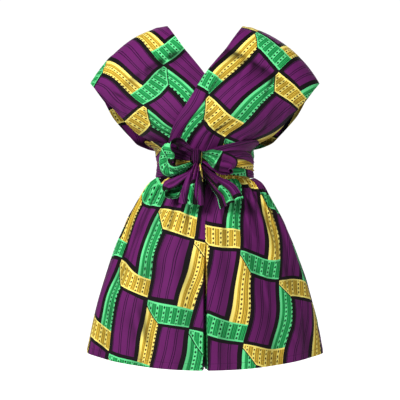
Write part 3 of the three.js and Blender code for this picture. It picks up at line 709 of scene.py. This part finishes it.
# ---- Shorts ----
shorts = {
    "waist": -362,
    "hemSide": -790,
    "hemDrop": 28,  # how much lower the hem is in the middle
    "seam": 0.3,
    "crotch": 120,  # how far the crotch hangs below its row
    "legGap": 0.9,
    "innerRadius": 5,
    "slit": (45, 2),  # how far up and how wide the legs part at the hem
    "rows": [0, 0.03, 0.075, 0.135, 0.215, 0.315, 0.42, 0.52, 0.62, 0.72, 0.82, 0.91, 1],
    "crotchRow": 5,
    "finer": 9,  # rows of the grid between two of those rows
    "frontColumns": 150,
    "innerColumns": 18,
    # at these shares of the way down: half the width, and the reach to the front and to the back
    "down": [0, 0.035, 0.106, 0.247, 0.5, 0.75, 1],
    "half": [113, 137, 158, 193, 239, 272, 294],
    "front": [90, 106, 121, 140, 160, 175, 186],
    "back": [88, 105, 125, 153, 176, 188, 198],
    "gatherWaist": 0.072,
    "gatherHem": 0.17,
    "cutWaist": 265,  # width of a quarter on the flat cloth
    "cutHem": 385,
    "smallGathers": {"count": 13, "rise": (2, 5.4), "reach": (0.14, 0.5), "half": (0.014, 0.028), "lean": 0.05},
    "small": (34, 92, 22, 120, 1.5, 11),
    "smallOver": ((10, -420), (350, -40)),
    "rumple": (170, 0.9),
    "strays": ((180, 6), (140, 6)),
    # the top lies flat, and this deep under the waistband: at the side, and more towards the middle
    "flatDown": (0.001, 0.011),
    "sewnDown": 0.006,
    "sewnDeep": {"front": (1.4, 0.3), "back": (1.4, 1.3)},
    "hem": {"fold": 15, "stitch": 16, "thick": 0.7, "over": 2},
    "legWave": {"from": 4, "height": 4, "along": 19, "bend": 0.6, "down": 60, "clear": (2, 30), "fading": 40},
    "paintedShadeExtra": (1.4, 0.24, 0.16),  # painted shade behind the bow: how much, how far to the side and how far down
}
# place from the middle to the side seam, height at the waist seam, how far down it shows, height at the hem
gathers = {
    "front": [
        (0.07, 5, 0.5, 0), (0.22, 6, 0.95, 7), (0.37, 5, 0.4, 0), (0.51, 6, 0.8, 6), (0.65, 5, 0.45, 0),
        (0.79, 6, 0.9, 6), (0.93, 5, 0.5, 0),
    ],
    "back": [
        (0.07, 5, 0.6, 0), (0.21, 6, 0.5, 4), (0.36, 5, 0.9, 8), (0.5, 6, 0.4, 0), (0.64, 5, 0.8, 7),
        (0.79, 6, 0.5, 0), (0.93, 5, 0.7, 3),
    ],
}
# each panel's place on the print, and the pleat beside its middle seam: place, depth, half width, reach
shortsPanels = {
    "shorts_front_left": {"cloth": (0.8, 0.26), "pleat": (0.07, -9, 0.055, 0.36), "seed": 41},
    "shorts_front_right": {"cloth": (1.13, 0.52), "pleat": (0.05, -3, 0.03, 0.2), "seed": 42},
    "shorts_back_left": {"cloth": (2.4, 0.17), "pleat": (0.06, -3, 0.03, 0.25), "seed": 43},
    "shorts_back_right": {"cloth": (3.6, 0.33), "pleat": (0.08, -4, 0.03, 0.3), "seed": 44},
}


def legGrid(face):
    # a quarter of the shorts from the side seam (an ellipse at each height) to the middle seam, and below the crotch
    # row on round a quarter circle and along the inner leg, under the quarter ellipse of the crotch
    look = shorts
    coarse, finer = np.array(look["rows"]), look["finer"]
    down = np.interp(np.arange((len(coarse) - 1) * finer + 1) / finer, np.arange(len(coarse)), coarse)
    crotchRow = look["crotchRow"] * finer
    top = look["waist"] - look["seam"]
    length = top - (look["hemSide"] - look["hemDrop"])
    crotchDown = coarse[look["crotchRow"]]
    reachAtCrotch = curve(look["down"], look[face], np.array([crotchDown]))[0]
    half = curve(look["down"], look["half"], down)[:, None]
    depth = curve(look["down"], look[face], down)[:, None]
    below = np.maximum((down - crotchDown) / (1 - crotchDown), 0)[:, None]
    slitHeight, slitOpen = look["slit"]
    opening = slitOpen * fade(1 - (1 - down) * length / slitHeight)
    isLeg = np.arange(len(down)) >= crotchRow
    middle = np.where(isLeg, look["legGap"] + opening, look["seam"] / 2)[:, None]
    radius = look["innerRadius"] * fade(below * 3)
    start = np.arcsin((middle + radius) / half)
    end = np.pi / 2 - look["seam"] / 2 / depth
    share = np.linspace(0, 1, look["frontColumns"] + 1)
    turn = end + (start - end) * share
    x = half * np.sin(turn)
    drop = look["hemDrop"] * np.minimum(x / half, 1) ** 2
    outer = np.stack([x, -depth * np.cos(turn), top - down[:, None] * (length - drop)], -1)
    place = np.broadcast_to(1 - share, x.shape)

    share = np.linspace(0, 1, look["innerColumns"] + 1)[1:]
    corner = np.minimum(share / 0.3, 1) * np.pi / 2
    crotchY = np.cos(share * np.pi / 2)
    crotchZ = top - crotchDown * length - look["crotch"] * np.sin(share * np.pi / 2)
    reach = reachAtCrotch + (depth - reachAtCrotch) * np.minimum(below * 2, 1)
    y = -reach * (crotchY + (1 - share - crotchY) * below) + radius * (1 - np.cos(corner)) * (1 - share)
    innerX = middle + radius * (1 - np.sin(corner))
    innerZ = crotchZ + (top - length - crotchZ) * below
    inner = np.stack([innerX, np.minimum(y, -look["seam"] / 2), innerZ], -1)
    inner[~isLeg] = np.nan
    grid = np.concatenate([outer, inner], 1)
    return grid, down[:, None], np.concatenate([place, np.zeros(inner.shape[:2])], 1)


def offSeams(place, reach):
    # 1 away from a panel's two side seams
    return fade(place / reach) * fade((1 - place) / reach)


def gatherHeight(face, place, down):
    # raised cosines, wider towards the hem, that shrink down their reach while others grow to the hem
    half = shorts["gatherWaist"] + (shorts["gatherHem"] - shorts["gatherWaist"]) * fade(down)
    height = 0
    for middle, rise, reach, atHem in gathers[face]:
        height = height + (rise * (1 - fade(down / reach)) + atHem * fade(down)) * bump((place - middle) / half)
    return height * offSeams(place, 0.05)


def smallGathers(place, down, seed):
    # narrow ridges from the waist seam, uneven in place, height and reach
    look = shorts["smallGathers"]
    rng = np.random.default_rng(seed)
    count = look["count"]
    middles = (np.arange(count) + rng.uniform(0.15, 0.85, count)) / count
    height = 0
    for middle in middles:
        rise, reach, half = (rng.uniform(*look[name]) for name in ("rise", "reach", "half"))
        lean = rng.uniform(-look["lean"], look["lean"])
        aside = (place - middle - lean * down) / (half * (1 + 1.5 * down))
        height = height + rise * (1 - fade(down / reach)) * bump(aside)
    return height * offSeams(place, 0.03)


def makeShorts(face, side):
    name = f"shorts_{face}_{side}"
    look = shortsPanels[name]
    seed, front = look["seed"], shorts["frontColumns"]
    mirror = 1 if side == "left" else -1
    behind = -1 if face == "back" else 1
    flat, down, place = legGrid(face)
    steps = np.linalg.norm(np.diff(flat, axis=1), axis=2)
    width = shorts["cutWaist"] + (shorts["cutHem"] - shorts["cutWaist"]) * down
    inner = np.concatenate([np.zeros((len(down), 1)), np.cumsum(np.nan_to_num(steps[:, front:]), 1)], 1)
    u = place * width
    u[:, front:] -= inner
    length = shorts["waist"] - (shorts["hemSide"] - shorts["hemDrop"])
    v = -down * length + 0 * place
    height = gatherHeight(face, place, down) + smallGathers(place, down, seed)
    small = scattered(seed, *shorts["smallOver"], shorts["small"])
    onPanel = offSeams(place, 0.06) * fade(down / 0.1)
    height = height + onPanel * (creases(u, v, small) + rumple(u, v, seed, *shorts["rumple"]))
    middle, depth, half, reach = look["pleat"]
    height = height + depth * (1 - fade(down / reach)) * bump((place - middle) / half)
    early, flatOver = shorts["flatDown"]
    height = height * fade((down + early) / flatOver)
    deep, deeper = shorts["sewnDeep"][face]
    height = height - (deep + deeper * (1 - place)) * (1 - fade(down / shorts["sewnDown"]))
    grid = flat + gridNormals(flat, sewn=True) * height[..., None]

    # a fold's sides take up more of the cloth than its top, and the cloth hangs a little off its grain
    along = np.cumsum(np.linalg.norm(np.diff(grid[:, : front + 1], axis=1), axis=2), 1)
    onCloth = u.copy()
    onCloth[:, 1 : front + 1] = (1 - along / along[:, -1:]) * width
    strayU, strayV = shorts["strays"]
    onCloth = onCloth + rumple(u, v, seed + 10, *strayU)
    offGrain = rumple(u, v, seed + 20, *strayV)
    cloth = onPrint(onCloth * mirror, v + offGrain, *look["cloth"])
    hem = shorts["hem"]
    fromHem = (1 - down) * length + 0 * place
    edge = np.stack([fromHem - hem["stitch"], u], -1)
    wall = wallLook["thick"] + hem["thick"] * (1 - fade((fromHem - hem["fold"]) / hem["over"]))

    # the inner legs' cloth waves a little, less towards its ends
    grid = grid * [mirror, behind, 1]
    wave = shorts["legWave"]
    innerLeg = slice(front + wave["from"], None)
    y, z = grid[:, innerLeg, 1], grid[:, innerLeg, 2]
    clear, clearOver = wave["clear"]
    fromFront = grid[:, [front], 1] * -behind - np.abs(y)
    room = fade((np.abs(y) - clear) / clearOver) * fade(fromFront / wave["fading"])
    bend = wave["bend"] * np.sin(z / wave["down"])
    grid[:, innerLeg, 0] += wave["height"] * np.sin(y / wave["along"] + bend) * room

    # painted shade at the top of the front panels, behind the bow
    paintedShadeBy, aside, below = shorts["paintedShadeExtra"]
    paintedShadeExtra = paintedShadeBy * (1 - fade(place / aside)) * (1 - fade(down / below)) * (face == "front")
    made = makeCloth(name, grid, cloth, edge, paintedShadeExtra, wall, sewn=True, flip=mirror * behind < 0)


for face in ("front", "back"):
    for side in ("left", "right"):
        makeShorts(face, side)
print("shorts made")

# ---- Waistband ----
waistband = {
    "top": -312,
    "bottom": -362,
    "inside": 0.4,
    "columns": 240,
    "rows": 12,
    "round": 640,
    "hem": 3,
    "cloth": (0.2, 4.6),
}


def makeWaistband():
    # a ring at even turns round the form, just inside it
    look = waistband
    turn = np.arange(look["columns"]) * 360 / look["columns"]
    z = np.linspace(look["top"], look["bottom"], look["rows"] + 1)[:, None] + 0 * turn
    turn = turn + 0 * z
    grid = formPoint(turn, z) - formNormal(turn, z) * look["inside"]
    along = turn / 360 * look["round"]
    cloth = onPrint(along, z, *look["cloth"])
    edge = np.stack([np.minimum(look["top"] - z, z - look["bottom"]) - look["hem"], along], -1)
    made = makeCloth("waistband", grid, cloth, edge, ring=True)


makeWaistband()
print("waistband made")

# ---- Bow ----
# Each ribbon's rows: where the middle of the cloth is, which way its width points, how wide it is and how far its
# middle is crowned out. Its folds: place across it, height and half width. Its cloth: its place on the print in
# metres, how wide it shows and how far it is turned. Its pleats, which hide some cloth: place, and start on the cloth.
ribbons = {
    "bow_loop_right": {
        "rows": [
            (-24, -134, -304, 0.1, -0.9, 0.3, 18, 2), (-44, -140, -291, 0.35, -0.8, 0.4, 32, 3),
            (-64, -140, -278, 0.5, -0.75, 0.45, 46, 2), (-84, -135, -286, 0.6, -0.75, 0.3, 56, 4),
            (-92, -130, -310, 0.6, -0.75, 0.2, 60, 5), (-91, -131, -334, 0.5, -0.7, 0.4, 58, 4),
            (-74, -137, -342, 0.25, -0.75, 0.45, 46, 3), (-48, -140, -333, 0.1, -0.85, 0.4, 32, 2),
            (-24, -134, -318, 0, -0.9, 0.4, 16, 1),
        ],
        "folds": [(0.3, 3, 0.25), (0.78, 3, 0.22)],
        "cloth": (1.03, 0.114, 62, 273),
        "flat": (0.05, 0.2),
    },
    "bow_lobe_right": {
        "rows": [
            (-22, -134, -334, 0.2, -0.85, -0.3, 14, 1), (-48, -136, -355, 0.2, -0.8, -0.4, 28, 2),
            (-72, -134, -370, 0.3, -0.75, -0.4, 40, 3), (-91, -129, -380, 0.4, -0.75, -0.35, 42, 3),
            (-90, -130, -394, 0.25, -0.65, -0.55, 42, 2), (-70, -133, -394, 0.1, -0.6, -0.65, 40, 3),
            (-44, -134, -377, 0.1, -0.7, -0.55, 28, 2), (-21, -133, -342, 0, -0.9, -0.3, 12, 1),
        ],
        "folds": [(0.35, 3, 0.2), (0.8, 2, 0.2)],
        "cloth": (0.826, 0.024, 55, 166),
        "flat": (0.04, 0.2),
    },
    "bow_tail_right": {
        "rows": [
            (-18, -146, -331, 1, 0, 0, 16, 2), (-21, -158, -346, 1, 0, 0.1, 28, 4),
            (-27, -165, -372, 1, 0, 0.15, 44, 3), (-32, -165, -402, 1, 0, 0.2, 55, 2),
            (-34, -162, -423, 1, 0, 0.2, 60, 2),
        ],
        "folds": [(0.17, 9, 0.17), (0.45, 10, 0.11), (0.66, 3, 0.1), (0.88, 9, 0.12)],
        "pleats": ((0, 280), (0.34, 620), (0.56, 480), (0.76, 750)),
        "cloth": (0, 0.38, 60, 190),
        "flat": (0.08, 0.11),
    },
    "bow_loop_left": {
        "rows": [
            (-10, -134, -300, -0.2, -0.9, -0.4, 16, 2), (12, -143, -306, -0.2, -0.6, -0.75, 38, 3),
            (36, -145, -319, -0.2, -0.5, -0.8, 58, 4), (66, -139, -328, -0.3, -0.7, -0.6, 56, 4),
            (64, -136, -343, -0.3, -0.8, -0.4, 46, 3), (38, -140, -346, -0.1, -0.85, -0.3, 34, 2),
            (12, -138, -334, 0, -0.9, -0.2, 24, 2), (-10, -134, -321, 0, -0.9, 0, 16, 1),
        ],
        "folds": [(0.3, 3, 0.22), (0.75, 3, 0.2)],
        "cloth": (0.749, 0.433, 60, 169),
        "flat": (0.05, 0.19),
    },
    "bow_tail_left": {
        "rows": [
            (-12, -130, -331, 0.8, 0, 0.4, 14, 1), (6, -130, -352, 0.85, 0, 0.45, 22, 2),
            (28, -134, -374, 0.9, -0.1, 0.45, 36, 3), (52, -142, -396, 0.95, -0.1, 0.35, 54, 3),
            (64, -148, -422, 1, -0.1, 0.25, 62, 2),
        ],
        "folds": [(0.15, 4, 0.13), (0.46, 10, 0.16), (0.81, 8, 0.18)],
        "pleats": ((0, 330), (0.3, 1020), (0.62, 20)),
        "cloth": (0, 0.4, 66, 170),
        "flat": (0.06, 0.12),
    },
}
ribbonCloth = {
    "seed": 61,  # of the first
    "rows": 14,  # between two of a ribbon's rows
    "columns": 60,
    "hem": 4,
    "creases": (16, 90, 9, 70, 1.5, 5),
    "creased": 30,  # how wide a ribbon is where its creases have their whole height
    "rumple": (60, 0.6),
    "paintedShadeNearKnot": (1.3, 55),  # painted shade near the knot: how much, in millimetres of hollow, and how far from the ribbon's start it fades
    "between": (0.13, 3),  # and painted shade between its folds: how much to a millimetre it lies below them, less so many millimetres
}


def throughRows(rows, at):
    # a cubic through the rows whose slope at each is half the step between its neighbours, and its slope there
    last = len(rows) - 1
    tangent = np.gradient(rows, axis=0)
    i = np.clip(np.floor(at).astype(int), 0, last - 1)
    u = (at - i)[:, None]
    point = (
        (2 * u**3 - 3 * u**2 + 1) * rows[i]
        + (u**3 - 2 * u**2 + u) * tangent[i]
        + (3 * u**2 - 2 * u**3) * rows[i + 1]
        + (u**3 - u**2) * tangent[i + 1]
    )
    slope = (
        6 * (u**2 - u) * (rows[i] - rows[i + 1])
        + (3 * u**2 - 4 * u + 1) * tangent[i]
        + (3 * u**2 - 2 * u) * tangent[i + 1]
    )
    return point, slope


def makeRibbon(name, seed):
    look, kind = ribbons[name], ribbonCloth
    rows = np.array(look["rows"], float)
    last = len(rows) - 1
    at = np.linspace(0, last, last * kind["rows"] + 1)
    w = np.linspace(0, 1, kind["columns"] + 1)
    centre, tangent = throughRows(rows[:, :3], at)
    tangent = unit(tangent)
    others = curve(np.arange(last + 1), rows[:, 3:], at)
    side = unit(others[:, :3] - tangent * (others[:, :3] * tangent).sum(1, keepdims=True))
    out = unit(np.cross(tangent, side))
    wide, crown = others[:, 3:4], others[:, 4:5]
    lift = crown * (1 - (2 * w - 1) ** 2)
    for middle, rise, half in look["folds"]:
        lift = lift + rise * bump((w - middle) / half)
    v = lengthAlong(centre) + 0 * w
    fromU, fromV, cut, turn = look["cloth"]
    shown = pleated(w + 0 * v, *zip(*look.get("pleats", ((0, -cut / 2),))), cut)
    u = (w - 0.5) * cut + 0 * v
    small = scattered(seed, (-cut / 2, 0), (cut / 2, v[-1, 0]), kind["creases"])
    lift = lift + creases(u, v, small) * fade(wide / kind["creased"]) + rumple(u, v, seed, *kind["rumple"])
    grid = centre[:, None] + side[:, None] * ((w - 0.5) * wide)[..., None] + out[:, None] * lift[..., None]
    cloth = onPrint(shown, v, fromU, fromV, turn)
    edge = np.stack([np.minimum(w, 1 - w) * cut - kind["hem"] + 0 * v, v], -1)
    # painted shade near the knot and between the ribbon's folds
    shadeAtKnot, reach = kind["paintedShadeNearKnot"]
    share, below = kind["between"]
    between = np.maximum(lift.max(1, keepdims=True) - lift - below, 0)
    made = makeCloth(name, grid, cloth, edge, shadeAtKnot * (1 - fade(v / reach)) + share * between)


for number, ribbonName in enumerate(ribbons):
    makeRibbon(ribbonName, ribbonCloth["seed"] + number)

knot = {
    "place": (-19, -134, -312),
    "half": (14, 18, 22),
    "around": 96,
    "high": 64,
    "pleats": 3,
    "depth": 0.08,
    "ripple": (0.03, 31, 4),
    "paintedShade": 12,  # painted shade: how much darker the shader paints the cloth between its pleats than on them
    "cloth": (0.63, 0.39, -15),
    "shows": (30, 24),
    "fromEdge": 50,  # no edge is near
}


def makeKnot():
    # an ellipsoid whose surface swells and sinks in pleats that run over it from top to bottom
    look = knot
    around, high = look["around"], look["high"]
    turn = np.arange(around) * 2 * np.pi / around
    tilt = np.linspace(0, np.pi, high + 1)[1:-1, None]
    x, y, z = np.sin(tilt) * np.cos(turn), np.sin(tilt) * np.sin(turn), np.cos(tilt) + 0 * turn
    ball = np.concatenate([[[0, 0, 1]], np.stack([x, y, z], -1).reshape(-1, 3), [[0, 0, -1]]])
    x, y, z = ball.T
    pleat = 1 + look["depth"] * np.cos(2 * np.pi * look["pleats"] * x)
    ripple, rateX, rateZ = look["ripple"]
    pleat += ripple * np.cos(rateX * x + rateZ * z)
    halfX, halfY, halfZ = look["half"]
    points = np.stack([x * halfX, y * halfY * pleat, z * halfZ * pleat], -1) + look["place"]
    first = 1 + np.arange((high - 2) * around).reshape(high - 2, around)
    a, b, c, d = first, np.roll(first, -1, 1), np.roll(first, -1, 1) + around, first + around
    quads = np.stack([a, d, c, b], -1).reshape(-1, 4).tolist()
    under, end = 1 + (high - 2) * around, len(points) - 1
    top = [[0, 1 + j, 1 + (j + 1) % around] for j in range(around)]
    bottom = [[end, under + (j + 1) % around, under + j] for j in range(around)]
    alongX, over = look["shows"]
    cloth = onPrint(x * alongX, np.arctan2(-y, z) * over, *look["cloth"])
    edge = np.stack([look["fromEdge"] + 0 * z, points[:, 2]], -1)
    # painted shade over the whole knot, deepest between its pleats and least on their tops
    paintedShade = np.stack([1 - look["paintedShade"] * (pleat - 1), 0 * pleat], -1)
    maps = {"cloth": cloth, "edge": edge, "paintedShade": paintedShade}
    made = makeMesh("bow_knot", points, quads + top + bottom, maps)


makeKnot()
print("bow made")

# ---- Studio ----
studio = {
    "floor": -1.25,
    "floorHalf": 14,
    "white": shade(250, 250, 250),
    "world": 0.24,  # its light on the garment, and as it is seen
    "seenWorld": 1.05,
    "aim": (0, 0, -0.41),
    "key": {"place": (-1.7, -2.6, 1.3), "size": 0.9, "power": 96},
    "fill": {"place": (2.2, -2.4, 0.1), "size": 2.0, "power": 12},
    "back": {"place": (0.4, 2.6, 1.4), "size": 2.0, "power": 40},
}


def makeStudio():
    half, z = studio["floorHalf"], studio["floor"]
    mesh = bpy.data.meshes.new("floor")
    mesh.from_pydata([(-half, -half, z), (half, -half, z), (half, half, z), (-half, half, z)], [], [(0, 1, 2, 3)])
    white = studio["white"]
    finish = {"Base Color": white, "Roughness": 0.9, "Emission Color": white, "Emission Strength": 1.0}
    mesh.materials.append(Nodes("pale_floor").finish(finish))
    floor = linked("floor", mesh)
    floor.visible_diffuse = False
    world = bpy.data.worlds.new("studio")
    world.use_nodes = True
    tree = world.node_tree
    background = tree.nodes["Background"]
    background.inputs["Color"].default_value = (1, 1, 1, 1)
    path = tree.nodes.new("ShaderNodeLightPath")
    strength = tree.nodes.new("ShaderNodeMapRange")
    tree.links.new(path.outputs["Is Camera Ray"], strength.inputs["Value"])
    strength.inputs["To Min"].default_value = studio["world"]
    strength.inputs["To Max"].default_value = studio["seenWorld"]
    tree.links.new(strength.outputs["Result"], background.inputs["Strength"])
    scene.world = world
    for name in ("key", "fill", "back"):
        look = studio[name]
        lamp = bpy.data.lights.new(name, "AREA")
        lamp.size = look["size"]
        lamp.energy = look["power"]
        light = linked(name, lamp)
        light.location = look["place"]
        away = light.location - Vector(studio["aim"])
        light.rotation_euler = away.to_track_quat("Z", "Y").to_euler()
    scene.view_settings.view_transform = "Standard"


makeStudio()
print("studio made")
